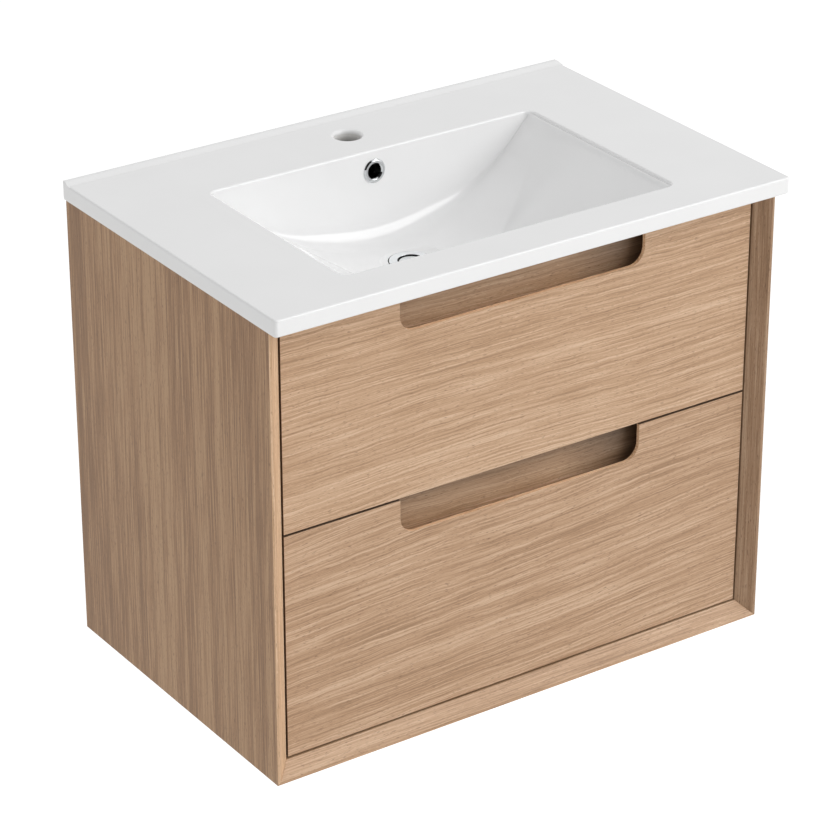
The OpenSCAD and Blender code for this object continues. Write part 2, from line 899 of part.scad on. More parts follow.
runner_y0 = front_back_y + 2;
runner_lift = 45;                                // runner centre above the underside of its box
upper_runner_z = upper_box_z + runner_lift;
lower_runner_z = lower_box_z + runner_lift;
ball_play = 0.2;
outer_h = runner_h / 2;
ball_pitch_h = ball_d + 2 * ball_play;
mid_h = outer_h - runner_t - ball_pitch_h;       // half height of the middle member
slim_h = mid_h - runner_t - ball_pitch_h;        // half height of the drawer member
mid_s = 3.4;                                     // middle member's distance from the panel
slim_s = 6.2;                                    // drawer member's flange tips
member_reach = 9.6;
mid_reach = 12;
outer_ball_s = 6.5;
inner_ball_s = 8.8;
outer_cage_s = 1.9;
inner_cage_s = 5.1;
cage_t = 0.6;
cage_reach = 2;                                  // how far a cage runs past its ball centres
cage_y = 90;                                     // cage's start behind the runner's front end
ball_count = 10;
ball_step = 17;

// C section in X and Z: web at s0, flanges to s1, s being the distance from the panel.
module c_section(s0, s1, h, t) {
    web = s0 < s1 ? s0 + t : s0 - t;
    polygon([
        [inner_x - s0, -h], [inner_x - s1, -h], [inner_x - s1, -h + t], [inner_x - web, -h + t],
        [inner_x - web, h - t], [inner_x - s1, h - t], [inner_x - s1, h], [inner_x - s0, h]
    ]);
}

module member(side, level, s0, s1, h) {
    color(zinc)
        on_side(side)
            translate([0, 0, level])
                difference() {
                    along_y(runner_y0, runner_y0 + runner_l)
                        c_section(s0, s1, h, runner_t);
                    translate([0, 0, -level]) {
                        runner_holes();
                        slide_screw_holes(level - runner_lift);
                    }
                }
}

module runner_outer(side, level) {
    member(side, level, 0, member_reach, outer_h);
}

module runner_mid(side, level) {
    color(zinc)
        on_side(side)
            translate([0, 0, level])
                along_y(runner_y0, runner_y0 + runner_l)
                    c_section(mid_s, mid_reach, mid_h, runner_t);
}

module runner_inner(side, level) {
    member(side, level, runner_w, slim_s, slim_h);
}

// A pair of ball cages, one on each side, with their balls.
module cages(level, s, ball_s, row_h) {
    length = (ball_count - 1) * ball_step + 2 * ball_d;
    for (side = [-1, 1])
        color(zinc)
            on_side(side)
                translate([0, 0, level])
                    union() {
                        along_y(runner_y0 + cage_y - ball_d, runner_y0 + cage_y - ball_d + length)
                            c_section(s, ball_s + cage_reach, row_h + cage_t / 2, cage_t);
                        for (i = [0:ball_count - 1], row = [-row_h, row_h])
                            translate([inner_x - ball_s, runner_y0 + cage_y + i * ball_step, row])
                                sphere(d = ball_d, $fn = 32);
                    }
}

module outer_cages(level) {
    cages(level, outer_cage_s, outer_ball_s, mid_h + ball_pitch_h / 2);
}

module inner_cages(level) {
    cages(level, inner_cage_s, inner_ball_s, slim_h + ball_pitch_h / 2);
}

// Flat-headed screws through the members, three in each.
runner_screw_at = [35, 165, runner_l - 30];
runner_screw_r = 1.75;
runner_screw_l = 12;
runner_head_r = 3;
runner_head_t = 0.5;

module runner_shafts(r) {
    for (level = [upper_runner_z, lower_runner_z], at = runner_screw_at)
        rod_x(runner_y0 + at, level, inner_x - runner_t, inner_x - runner_t + runner_screw_l, r);
}

module runner_holes() {
    runner_shafts(runner_screw_r + screw_play);
}

module runner_screws() {
    color(zinc)
        for (side = [-1, 1])
            on_side(side) {
                runner_shafts(runner_screw_r);
                for (level = [upper_runner_z, lower_runner_z], at = runner_screw_at)
                    rod_x(runner_y0 + at, level, inner_x - runner_t - runner_head_t,
                        inner_x - runner_t, runner_head_r);
            }
}

module slide_shafts(box_z, r) {
    for (at = runner_screw_at)
        rod_x(runner_y0 + at, box_z + runner_lift, box_x + runner_t - runner_screw_l, box_x + runner_t, r);
}

module slide_screw_holes(box_z) {
    slide_shafts(box_z, runner_screw_r + screw_play);
}

module slide_screws(box_z) {
    color(zinc)
        for (side = [-1, 1])
            on_side(side) {
                slide_shafts(box_z, runner_screw_r);
                for (at = runner_screw_at)
                    rod_x(runner_y0 + at, box_z + runner_lift, box_x + runner_t,
                        box_x + runner_t + runner_head_t, runner_head_r);
            }
}

basin();
basin_bowl();
overflow_ring();
waste_body();
waste_washer();
waste_gasket();
waste_nut();
waste_cartridge();
waste_button();
side_panel(-1);  // side_left
side_panel(1);  // side_right
bottom_panel();
rear_top_rail();
rear_bottom_rail();
fixing_plates();
corner_brackets();
bracket_screws();
drawer_front(upper_z0, upper_z1, upper_box_z);  // upper_front
pull_back(upper_z1);  // upper_pull_back
inner_front(upper_box_z, upper_box_h);  // upper_inner_front
box_side(-1, upper_box_z, upper_box_h);  // upper_side_left
box_side(1, upper_box_z, upper_box_h);  // upper_side_right
upper_base();
upper_back(-1);  // upper_back_left
upper_back(1);  // upper_back_right
upper_well_side(-1);  // upper_well_left
upper_well_side(1);  // upper_well_right
upper_well_front();
front_screws(upper_box_z);  // upper_front_screws
drawer_front(lower_z0, lower_z1, lower_box_z);  // lower_front
pull_back(lower_z1);  // lower_pull_back
inner_front(lower_box_z, lower_box_h);  // lower_inner_front
box_side(-1, lower_box_z, lower_box_h);  // lower_side_left
box_side(1, lower_box_z, lower_box_h);  // lower_side_right
lower_base();
lower_back();
front_screws(lower_box_z);  // lower_front_screws
runner_outer(-1, upper_runner_z);  // upper_runner_outer_left
runner_outer(1, upper_runner_z);  // upper_runner_outer_right
runner_mid(-1, upper_runner_z);  // upper_runner_mid_left
runner_mid(1, upper_runner_z);  // upper_runner_mid_right
runner_inner(-1, upper_runner_z);  // upper_runner_inner_left
runner_inner(1, upper_runner_z);  // upper_runner_inner_right
runner_outer(-1, lower_runner_z);  // lower_runner_outer_left
runner_outer(1, lower_runner_z);  // lower_runner_outer_right
runner_mid(-1, lower_runner_z);  // lower_runner_mid_left
runner_mid(1, lower_runner_z);  // lower_runner_mid_right
runner_inner(-1, lower_runner_z);  // lower_runner_inner_left
runner_inner(1, lower_runner_z);  // lower_runner_inner_right
outer_cages(upper_runner_z);  // upper_outer_cages
inner_cages(upper_runner_z);  // upper_inner_cages
outer_cages(lower_runner_z);  // lower_outer_cages
inner_cages(lower_runner_z);  // lower_inner_cages
runner_screws();
slide_screws(upper_box_z);  // upper_slide_screws
slide_screws(lower_box_z);  // lower_slide_screws
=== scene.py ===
import json
import math

import bmesh
import bpy
import numpy as np
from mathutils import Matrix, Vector


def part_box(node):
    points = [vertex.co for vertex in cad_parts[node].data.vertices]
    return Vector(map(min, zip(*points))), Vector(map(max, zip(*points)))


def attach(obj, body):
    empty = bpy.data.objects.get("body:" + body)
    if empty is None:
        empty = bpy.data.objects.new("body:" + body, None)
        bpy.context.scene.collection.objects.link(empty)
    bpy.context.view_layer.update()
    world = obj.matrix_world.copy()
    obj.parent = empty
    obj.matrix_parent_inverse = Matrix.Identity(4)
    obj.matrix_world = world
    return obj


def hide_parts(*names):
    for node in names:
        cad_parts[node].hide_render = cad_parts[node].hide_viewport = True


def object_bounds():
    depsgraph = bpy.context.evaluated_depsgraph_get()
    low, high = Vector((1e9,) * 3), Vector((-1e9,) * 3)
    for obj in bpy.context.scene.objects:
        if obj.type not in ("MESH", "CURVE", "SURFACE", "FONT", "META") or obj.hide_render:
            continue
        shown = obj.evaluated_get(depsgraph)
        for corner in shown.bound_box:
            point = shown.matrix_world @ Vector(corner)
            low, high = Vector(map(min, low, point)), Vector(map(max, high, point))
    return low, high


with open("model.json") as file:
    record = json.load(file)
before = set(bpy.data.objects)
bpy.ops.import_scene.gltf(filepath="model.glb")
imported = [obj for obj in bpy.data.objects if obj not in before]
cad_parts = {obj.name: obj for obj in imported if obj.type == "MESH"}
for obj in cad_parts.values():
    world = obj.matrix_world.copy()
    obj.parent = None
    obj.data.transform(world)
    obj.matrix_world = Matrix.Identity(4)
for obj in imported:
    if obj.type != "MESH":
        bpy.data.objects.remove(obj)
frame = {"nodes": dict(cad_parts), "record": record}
cadBox = [list(corner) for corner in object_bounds()]
mm = 0.001
halfPi = math.pi / 2
print("frame loaded:", len(frame["nodes"]), "nodes")

# levels shared by several pieces, in mm from the wall-fixing centre
levels = {
    "seat": 303,         # top of the cabinet, underside of the basin top
    "deck": 325,         # top of the basin
    "valley": 205,       # lowest line of the bowl
    "wasteY": -211,      # the waste's distance from the wall
}
upright = np.eye(3)      # the turn of a piece that stands as it was made
wasteCentre = (0, levels["wasteY"], levels["valley"])


def hexColour(text):
    # sRGB hex to the linear values that shaders use
    parts = np.array([int(text[i:i + 2], 16) / 255 for i in (1, 3, 5)])
    linear = np.where(parts <= 0.04045, parts / 12.92, ((parts + 0.055) / 1.055) ** 2.4)
    return (*linear.tolist(), 1.0)


def addNode(tree, kind, inputs=None, **settings):
    # one node, its settings, and its inputs as values or as links from other nodes' sockets
    node = tree.nodes.new(kind)
    for name, value in settings.items():
        setattr(node, name, value)
    for name, value in (inputs or {}).items():
        if isinstance(value, bpy.types.NodeSocket):
            tree.links.new(value, node.inputs[name])
        else:
            node.inputs[name].default_value = value
    return node


def newMaterial(name, **shaderValues):
    material = bpy.data.materials.new(name)
    material.use_nodes = True
    tree = material.node_tree
    shader = tree.nodes["Principled BSDF"]
    for socket, value in shaderValues.items():
        shader.inputs[socket.replace("_", " ")].default_value = value
    return material, tree, shader


def colourStops(tree, factor, stops):
    # a colour ramp from (position, hex) pairs
    ramp = addNode(tree, "ShaderNodeValToRGB", {"Fac": factor})
    elements = ramp.color_ramp.elements
    while len(elements) < len(stops):
        elements.new(0.5)
    for element, (position, colour) in zip(elements, stops):
        element.position = position
        element.color = hexColour(colour)
    return ramp.outputs["Color"]


def mixColour(tree, factor, first, second, blendType="MIX"):
    mix = addNode(
        tree, "ShaderNodeMix", {0: factor, 6: first, 7: second}, data_type="RGBA", blend_type=blendType)
    return mix.outputs[2]


def arithmetic(tree, operation, first, second=0.0, third=0.0):
    return addNode(tree, "ShaderNodeMath", {0: first, 1: second, 2: third}, operation=operation).outputs[0]


# turns that bring a piece's grain direction onto X, and its face onto Z
grainTurns = {
    "across": (halfPi, 0, 0),            # fronts: grain along X on an XZ face
    "upright": (0, halfPi, 0),           # sides: grain along Z on a YZ face
    "flat": (0, 0, 0),                   # bottom: grain along X on an XY face
}

oak = {
    "stops": ((0.0, "#ae8d6d"), (0.3, "#c29f7e"), (0.65, "#d2b192"), (1.0, "#e3c6a9")),
    "pore": "#8a684c",
    # layers: metres along the grain, metres across, detail, weight in the tone
    "figure": (1.60, 0.070, 2.0, 0.50),
    "streaks": (1.30, 0.019, 2.0, 0.50),
    "ridges": (0.36, 0.0038, 2.0, 1.15),
    "fibres": (0.090, 0.0016, 1.0, 1.9),
    "flecks": (0.0070, 0.0013, 1.0, 0.9),
    "pores": (0.0080, 0.0011, 1.0, 0.8),   # real pores are about 0.3 mm wide, too fine for the render
    # how far over its mean the noise is where a fleck or pore starts and where it is full
    "fleckPeaks": (0.10, 0.30),
    "porePeaks": (0.12, 0.26),
    "fleckTone": 0.5,
    # waves of the grain: metres along, metres across, metres that it wanders sideways
    "wander": (0.42, 0.17, 0.015),
    "curl": (0.034, 0.020, 0.0019),
    "roughness": 0.46,
    "lacquer": 1.47,                       # index of refraction
    "relief": (0.1, 0.0004),               # strength, metres
}


def oakVeneer(
        name, grain, place, tilt=0.0, tint=(1.0, 1.0, 1.0), waviness=1.0, broad=1.0, fine=1.0, shade=None):
    # matt lacquered oak veneer, sliced: fine ridges and short fibres of pale and dark wood over a broad
    # figure, with pale flecks and short dark pores; broad and fine scale the contrast of the two kinds of
    # layer, and shade is a function that gives a colour to multiply by
    material, tree, shader = newMaterial(name, Roughness=oak["roughness"], IOR=oak["lacquer"])
    objectPlace = addNode(tree, "ShaderNodeTexCoord").outputs["Object"]
    turned = addNode(
        tree, "ShaderNodeMapping", {"Vector": objectPlace, "Rotation": grainTurns[grain], "Location": place})
    grained = addNode(tree, "ShaderNodeMapping", {"Vector": turned.outputs[0], "Rotation": (0, 0, tilt)})
    # the grain wanders sideways in long waves and small curls
    for length, width, reach in (oak["wander"], oak["curl"]):
        slow = addNode(
            tree, "ShaderNodeMapping",
            {"Vector": grained.outputs[0], "Scale": (1 / length, 1 / width, 1 / width)})
        wave = addNode(tree, "ShaderNodeTexNoise", {"Vector": slow.outputs[0], "Scale": 1.0, "Detail": 1.0})
        centred = addNode(
            tree, "ShaderNodeVectorMath", {0: wave.outputs["Color"], 1: (0.5, 0.5, 0.5)}, operation="SUBTRACT")
        pushed = addNode(
            tree, "ShaderNodeVectorMath",
            {0: centred.outputs[0], 1: (0, 2 * reach * waviness, 0)}, operation="MULTIPLY")
        grained = addNode(
            tree, "ShaderNodeVectorMath", {0: grained.outputs[0], 1: pushed.outputs[0]}, operation="ADD")

    def drawnOut(layer):
        # noise drawn out along the grain, from -0.5 to 0.5
        length, width, detail, _ = oak[layer]
        stretched = addNode(
            tree, "ShaderNodeMapping",
            {"Vector": grained.outputs[0], "Scale": (1 / length, 1 / width, 1 / width)})
        noise = addNode(
            tree, "ShaderNodeTexNoise",
            {"Vector": stretched.outputs[0], "Scale": 1.0, "Detail": detail, "Roughness": 0.6})
        return arithmetic(tree, "SUBTRACT", noise.outputs["Fac"], 0.5)

    def spots(layer, peaks):
        # the peaks of a drawn-out noise
        start, full = oak[peaks]
        mask = addNode(tree, "ShaderNodeMapRange", {
            "Value": drawnOut(layer), "From Min": start, "From Max": full, "To Max": oak[layer][3]})
        return mask.outputs[0]

    tone = 0.5
    for layer, strength in (("figure", broad), ("streaks", broad), ("ridges", fine), ("fibres", fine)):
        tone = arithmetic(tree, "MULTIPLY_ADD", drawnOut(layer), oak[layer][3] * strength, tone)
    flecks = arithmetic(tree, "MULTIPLY", spots("flecks", "fleckPeaks"), oak["fleckTone"])
    wood = colourStops(tree, arithmetic(tree, "ADD", tone, flecks), oak["stops"])
    pores = spots("pores", "porePeaks")
    porous = mixColour(tree, pores, wood, hexColour(oak["pore"]))
    tinted = mixColour(tree, 1.0, porous, (*tint, 1), "MULTIPLY")
    if shade:
        tinted = mixColour(tree, 1.0, tinted, shade(tree, objectPlace), "MULTIPLY")
    tree.links.new(tinted, shader.inputs["Base Color"])
    strength, distance = oak["relief"]
    height = arithmetic(tree, "SUBTRACT", tone, pores)
    bump = addNode(tree, "ShaderNodeBump", {"Height": height, "Strength": strength, "Distance": distance})
    tree.links.new(bump.outputs[0], shader.inputs["Normal"])
    return material


# painted shade on the backs of the finger pulls: darker under the front above and towards the right end
pullPaintedShade = {
    "depth": 60,                  # mm from the top of the pull's back to where the painted shade has gone
    "rightEnd": (70, 180),        # mm from the middle, where it starts to darken again and where it is darkest
    "down": (
        (0.0, "#a39c92"), (0.3, "#cfcbc4"), (0.55, "#e0dedb"), (0.74, "#efeeec"), (0.85, "#ffffff")),
    "across": ((0.0, "#ffffff"), (1.0, "#8f8a84")),
}


def share(tree, value, start, end):
    # 0 to 1 as a place, in metres, goes from start to end, in mm
    return addNode(tree, "ShaderNodeMapRange", {
        "Value": value, "From Min": start * mm, "From Max": end * mm}).outputs[0]


def pullShade(top):
    # the back of a finger pull: painted shade under the edge above it and at its right end, paler at the foot
    def shade(tree, place):
        axes = addNode(tree, "ShaderNodeSeparateXYZ", {0: place}).outputs
        down = share(tree, axes["Z"], top, top - pullPaintedShade["depth"])
        sideways = share(tree, axes["X"], *pullPaintedShade["rightEnd"])
        return mixColour(
            tree, 1.0, colourStops(tree, down, pullPaintedShade["down"]),
            colourStops(tree, sideways, pullPaintedShade["across"]), "MULTIPLY")
    return shade


ceramic = {
    "glaze": ((0.35, "#f8f8f8"), (0.65, "#fafafa")),
    "glazeRoughness": 0.07,
    "ripples": 55.0,              # to the metre, 18 mm each
    # the bare wall's colours darken with depth: painted shade inside the tap hole
    "bareClayShade": ((0.35, "#eae9e7"), (0.68, "#b9b8b5"), (0.86, "#4a4a48")),
    "bareRoughness": 0.8,
    "shadeDepth": 20,              # mm down the tap hole to where its painted shade is darkest
}


def glazedCeramic():
    # vitreous china with a fired white glaze: smooth deep gloss with a very slight unevenness
    material, tree, shader = newMaterial("whiteGlaze", Roughness=ceramic["glazeRoughness"], IOR=1.5)
    place = addNode(tree, "ShaderNodeTexCoord").outputs["Object"]
    cloud = addNode(tree, "ShaderNodeTexNoise", {"Vector": place, "Scale": 9.0, "Detail": 2.0})
    colour = colourStops(tree, cloud.outputs["Fac"], ceramic["glaze"])
    tree.links.new(colour, shader.inputs["Base Color"])
    ripple = addNode(tree, "ShaderNodeTexNoise", {"Vector": place, "Scale": ceramic["ripples"], "Detail": 1.0})
    bump = addNode(
        tree, "ShaderNodeBump", {"Height": ripple.outputs["Fac"], "Strength": 0.02, "Distance": 0.001})
    tree.links.new(bump.outputs[0], shader.inputs["Normal"])
    return material


def bareShadedCeramic():
    # unglazed wall of the tap hole: pale clay, painted darker towards the bottom as painted shade
    material, tree, shader = newMaterial("rawCeramicPaintedShade", Roughness=ceramic["bareRoughness"], IOR=1.5)
    place = addNode(tree, "ShaderNodeTexCoord").outputs["Object"]
    height = addNode(tree, "ShaderNodeSeparateXYZ", {0: place}).outputs["Z"]
    depth = share(tree, height, levels["deck"], levels["deck"] - ceramic["shadeDepth"])
    speckle = addNode(tree, "ShaderNodeTexNoise", {"Vector": place, "Scale": 400.0, "Detail": 2.0})
    uneven = arithmetic(
        tree, "MULTIPLY_ADD", speckle.outputs["Fac"], 0.1, arithmetic(tree, "SUBTRACT", depth, 0.05))
    colour = colourStops(tree, uneven, ceramic["bareClayShade"])
    tree.links.new(colour, shader.inputs["Base Color"])
    return material


def metalFinish(name, low, high, roughness, spotSize, stretch=(1, 1, 1), wear=0.1):
    # plated metal: mirror or satin, with roughness that drifts over spots of spotSize metres
    material, tree, shader = newMaterial(name, Metallic=1.0)
    place = addNode(tree, "ShaderNodeTexCoord").outputs["Object"]
    stretched = addNode(tree, "ShaderNodeMapping", {"Vector": place, "Scale": stretch})
    cloud = addNode(
        tree, "ShaderNodeTexNoise", {"Vector": stretched.outputs[0], "Scale": 1 / spotSize, "Detail": 3.0})
    colour = colourStops(tree, cloud.outputs["Fac"], [(0.3, low), (0.7, high)])
    tree.links.new(colour, shader.inputs["Base Color"])
    drift = arithmetic(tree, "MULTIPLY_ADD", cloud.outputs["Fac"], wear, roughness - wear / 2)
    tree.links.new(drift, shader.inputs["Roughness"])
    return material


def mouldedFinish(name, low, high, roughness, grain, relief):
    # moulded or faced plastic: faint mottling and a fine leather-like texture of grain metres
    material, tree, shader = newMaterial(name, Roughness=roughness, IOR=1.5)
    place = addNode(tree, "ShaderNodeTexCoord").outputs["Object"]
    mottle = addNode(tree, "ShaderNodeTexNoise", {"Vector": place, "Scale": 60.0, "Detail": 4.0})
    colour = colourStops(tree, mottle.outputs["Fac"], [(0.35, low), (0.65, high)])
    tree.links.new(colour, shader.inputs["Base Color"])
    texture = addNode(tree, "ShaderNodeTexNoise", {"Vector": place, "Scale": 1 / grain, "Detail": 2.0})
    bump = addNode(
        tree, "ShaderNodeBump", {"Height": texture.outputs["Fac"], "Strength": relief, "Distance": 0.0003})
    tree.links.new(bump.outputs[0], shader.inputs["Normal"])
    return material


whiteGlaze = glazedCeramic()
rawCeramicPaintedShade = bareShadedCeramic()
polishedChrome = metalFinish("polishedChrome", "#d9dbdd", "#e6e8e9", 0.07, 0.03, wear=0.04)
zincPlate = metalFinish("zincPlate", "#a9abad", "#bfc2c4", 0.34, 0.004, stretch=(1, 0.05, 1), wear=0.16)
blackRubber = mouldedFinish("blackRubber", "#161616", "#1e1e1e", 0.62, 0.001, 0.3)
whiteNylon = mouldedFinish("whiteNylon", "#dcdcd8", "#e4e4e0", 0.42, 0.0015, 0.15)
greyMelamine = mouldedFinish("greyMelamine", "#cdcbc5", "#d4d2cc", 0.5, 0.0012, 0.35)
paintedShadeBlack = mouldedFinish("paintedShadeBlack", "#070707", "#0b0b0b", 0.8, 0.002, 0.2)   # near-black painted shade in the unlit duct and holes
upperFrontOak = oakVeneer("upperFrontOak", "across", (0.31, 0.12, 0.0), tilt=0.012, tint=(0.955, 0.91, 0.87))
lowerFrontOak = oakVeneer(
    "lowerFrontOak", "across", (1.73, 0.87, 0.4), tilt=0.045, tint=(0.885, 0.83, 0.785), broad=1.3, fine=1.15)
frontEdgePaintedShadeOak = oakVeneer("frontEdgePaintedShadeOak", "across", (3.1, 0.4, 0.8), tint=(0.3, 0.28, 0.27))   # edges painted dark: painted shade of the gaps round the fronts
leftSideOak = oakVeneer(
    "leftSideOak", "upright", (0.2, 0.55, 0.1), tint=(0.65, 0.535, 0.40), waviness=0.2, broad=4.0, fine=1.7)
rightSideOak = oakVeneer(
    "rightSideOak", "upright", (1.2, 0.15, 0.7), tint=(0.61, 0.555, 0.50), waviness=0.2, broad=2.0)
# the left side's front strip and bevel, tinted lighter: a painted highlight
stripPaintedHighlightOak = oakVeneer("stripPaintedHighlightOak", "upright", (0.7, 0.95, 1.4), tint=(1.08, 1.04, 0.98), waviness=0.2)
bottomOak = oakVeneer("bottomOak", "flat", (0.9, 0.3, 2.2), tint=(0.92, 0.865, 0.80), waviness=0.2)
lipPaintedLightOak = oakVeneer("lipPaintedLightOak", "across", (1.1, 2.3, 0.2), tint=(1.5, 1.43, 1.34))    # the lip of a pull, tinted lighter: painted light on its lit edge
innerOak = oakVeneer("innerOak", "across", (2.4, 1.3, 0.9), tint=(0.90, 0.87, 0.84))
# the backs of the pulls take the painted shade of pullShade
pullBacks = {
    name: oakVeneer(
        name.title().replace("_", ""), "across", (2.4, 1.3, 0.9), tint=(0.98, 0.94, 0.90),
        shade=pullShade(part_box(name)[1][2] / mm))
    for name in ("upper_pull_back", "lower_pull_back")}
finishes = {
    "ceramic": whiteGlaze, "chrome": polishedChrome, "steel": zincPlate, "rubber": blackRubber,
    "nylon": whiteNylon, "melamine": greyMelamine, "oak_carcass": innerOak, "oak_front": upperFrontOak,
}
nodeSlots = {part["node"]: part["material_slot"] for part in frame["record"]["subparts"]}
for nodeName, nodeObject in frame["nodes"].items():
    nodeObject.data.materials.clear()
    nodeObject.data.materials.append(pullBacks.get(nodeName, finishes[nodeSlots[nodeName]]))
print("materials made")


def meshFrom(name, points, faces, materials):
    # points in mm; doubles are merged and the normals turned outwards
    mesh = bpy.data.meshes.new(name)
    mesh.from_pydata((np.asarray(points, float) * mm).tolist(), [], faces)
    tidyMesh(mesh)
    for material in materials:
        mesh.materials.append(material)
    piece = bpy.data.objects.new(name, mesh)
    bpy.context.scene.collection.objects.link(piece)
    return piece


def tidyMesh(mesh, reach=0.001):
    # merges points closer than reach, in mm, and turns the normals outwards
    work = bmesh.new()
    work.from_mesh(mesh)
    bmesh.ops.remove_doubles(work, verts=work.verts, dist=reach * mm)
    bmesh.ops.recalc_face_normals(work, faces=work.faces)
    work.to_mesh(mesh)
    work.free()


def gridFaces(rows, columns, closedRows=False, closedColumns=False):
    # quads of a grid whose point (i, j) has the number i * columns + j
    i = np.arange(rows if closedRows else rows - 1)[:, None]
    j = np.arange(columns if closedColumns else columns - 1)[None, :]
    nextI, nextJ = (i + 1) % rows, (j + 1) % columns
    corners = np.stack([i * columns + j, nextI * columns + j, nextI * columns + nextJ, i * columns + nextJ], -1)
    return corners.reshape(-1, 4).tolist()


def tubeFaces(loops, size):
    # a stack of closed loops of size points, with a lid at both ends
    lids = [list(range(size)), list(range((loops - 1) * size, loops * size))]
    return gridFaces(loops, size, False, True) + lids


def applyModifier(piece, kind, **settings):
    modifier = piece.modifiers.new(kind.lower(), kind)
    for name, value in settings.items():
        setattr(modifier, name, value)
    bpy.context.view_layer.objects.active = piece
    bpy.ops.object.modifier_apply(modifier=modifier.name)


def smoothShading(piece, sharpAngle=32):
    # smooth faces, sharp edges over sharpAngle degrees, normals ruled by the largest faces
    piece.data.shade_smooth()
    piece.data.set_sharp_from_angle(angle=math.radians(sharpAngle))
    applyModifier(piece, "WEIGHTED_NORMAL", keep_sharp=True, weight=80)


def arcPoints(centre, radius, start, end, steps):
    # points on an arc, angles in degrees
    angle = np.radians(np.linspace(start, end, steps))
    return np.stack([centre[0] + radius * np.cos(angle), centre[1] + radius * np.sin(angle)], 1)


def lathe(name, profile, materials, segments=96):
    # turns a closed profile of (radius, height) round the Z axis
    profile = np.asarray(profile, float)
    angle = np.linspace(0, 2 * math.pi, segments, endpoint=False)[:, None]
    points = np.stack([
        profile[None, :, 0] * np.cos(angle), profile[None, :, 0] * np.sin(angle),
        np.broadcast_to(profile[None, :, 1], (segments, len(profile)))], -1)
    return meshFrom(name, points.reshape(-1, 3), gridFaces(segments, len(profile), True, True), materials)


def vectorArray(items, name):
    # one vector of every vertex or face, as rows
    values = np.empty(len(items) * 3)
    items.foreach_get(name, values)
    return values.reshape(-1, 3)


def placed(piece, matrix, shift):
    # moves the mesh itself, so that the object stays at the origin; shift in mm
    points = vectorArray(piece.data.vertices, "co") @ np.array(matrix, float).T + np.array(shift) * mm
    piece.data.vertices.foreach_set("co", points.ravel())
    piece.data.update()
    return piece


def faceArrays(piece):
    # centres in mm and normals of the faces
    return vectorArray(piece.data.polygons, "center") / mm, vectorArray(piece.data.polygons, "normal")


def paintFaces(piece, numbers):
    # gives each face its number of material; a mask gives the first or the second
    piece.data.polygons.foreach_set("material_index", numbers.astype(np.int32))
    return piece


def roundedOutline(x0, x1, y0, y1, radius, inset=0.0, steps=10):
    # a rounded rectangle, drawn in by inset
    corners = [(x1, y1, 0), (x0, y1, 90), (x0, y0, 180), (x1, y0, 270)]
    parts = []
    for x, y, start in corners:
        centre = (x - math.copysign(radius, x - (x0 + x1) / 2), y - math.copysign(radius, y - (y0 + y1) / 2))
        parts.append(arcPoints(centre, radius - inset, start, start + 90, steps))
    return np.concatenate(parts)


basin = {
    "width": 750, "depth": 490, "edgeRound": 2.5, "cornerRound": 5,
    "bowlHalf": 242, "bowlFront": -428.5, "bowlBack": -127, "bowlCorner": 12, "rimRound": 3,
    "band": 4, "wingSlope": 0.70, "wingSlopeBack": 0.97, "scoopStart": -266, "scoopEnd": -176,
    "frontLean": 33, "backLean": 3, "frontBlend": 28, "backBlend": 41, "creaseBlend": 0.3,
    "blendFade": 3.3,             # how fast the foot of the back wall sharpens towards the sides
    "blendShare": 0.7,            # the share of a straight line that a blend may take up
    "shell": 9, "lipWidth": 18, "lipHeight": 3, "lipCrown": 5,
    "tapY": -67, "tapRadius": 17.5, "tapMouth": 4.2,
    "tapDepth": 25, "overshoot": 2,
    "overflowDrop": 28, "sleeveHole": 11.7, "wasteHole": 22.95, "boss": 35.95, "bossDrop": 30,
    # the floor dips to the flange, which sits in a joint painted dark below jointTop as painted shade; radius
    # and height over the valley
    "dish": ((0, -4), (29.6, -4), (29.6, -1.2), (31, -0.8), (42, 2.8), (42, 40), (0, 40)),
    "jointTop": -1.35,
    "columns": 281, "cornerColumns": 10, "stations": 31, "rimSteps": 9,
    "rimTurn": 0.93 * halfPi,     # where the rounded edge of the hollow ends and its flat slope starts
}

# the overflow's duct: an upright behind the bowl and a foot that runs to the waste; skin keeps the faces of
# the two out of one plane
duct = {"half": 19, "front": -122, "back": -98, "wall": 7, "footHeight": 24, "skin": 0.1}


def bowlFloor(x, y):
    # the larger of an arc across the bowl and the flat wings, whose slope eases from one value to another
    half, depth = basin["bowlHalf"], levels["deck"] - levels["valley"]
    arcRadius = (half ** 2 + depth ** 2) / (2 * depth)
    arc = levels["valley"] + arcRadius - np.sqrt(arcRadius ** 2 - x ** 2)
    t = np.clip((y - basin["scoopStart"]) / (basin["scoopEnd"] - basin["scoopStart"]), 0, 1)
    slope = basin["wingSlope"] + (basin["wingSlopeBack"] - basin["wingSlope"]) * t * t * (3 - 2 * t)
    wing = levels["deck"] - basin["band"] - slope * (half - np.abs(x))
    overlap = np.clip(basin["creaseBlend"] - np.abs(arc - wing), 0, None)
    crease = overlap ** 2 / (4 * basin["creaseBlend"])          # rounds the line where the two meet
    return np.minimum(levels["deck"] - basin["band"], np.maximum(arc, wing) + crease)


def easedCorner(corner, before, after, reach, steps=12):
    # a parabola that leaves the line to one neighbour and joins the line to the next
    def along(neighbour):
        span = np.linalg.norm(neighbour - corner, axis=1)
        return corner + (neighbour - corner) * (np.minimum(reach, basin["blendShare"] * span) / span)[:, None]
    t = np.linspace(0, 1, steps)[None, :, None]
    start, end = along(before)[:, None], along(after)[:, None]
    return (1 - t) ** 2 * start + 2 * t * (1 - t) * corner[:, None] + t ** 2 * end


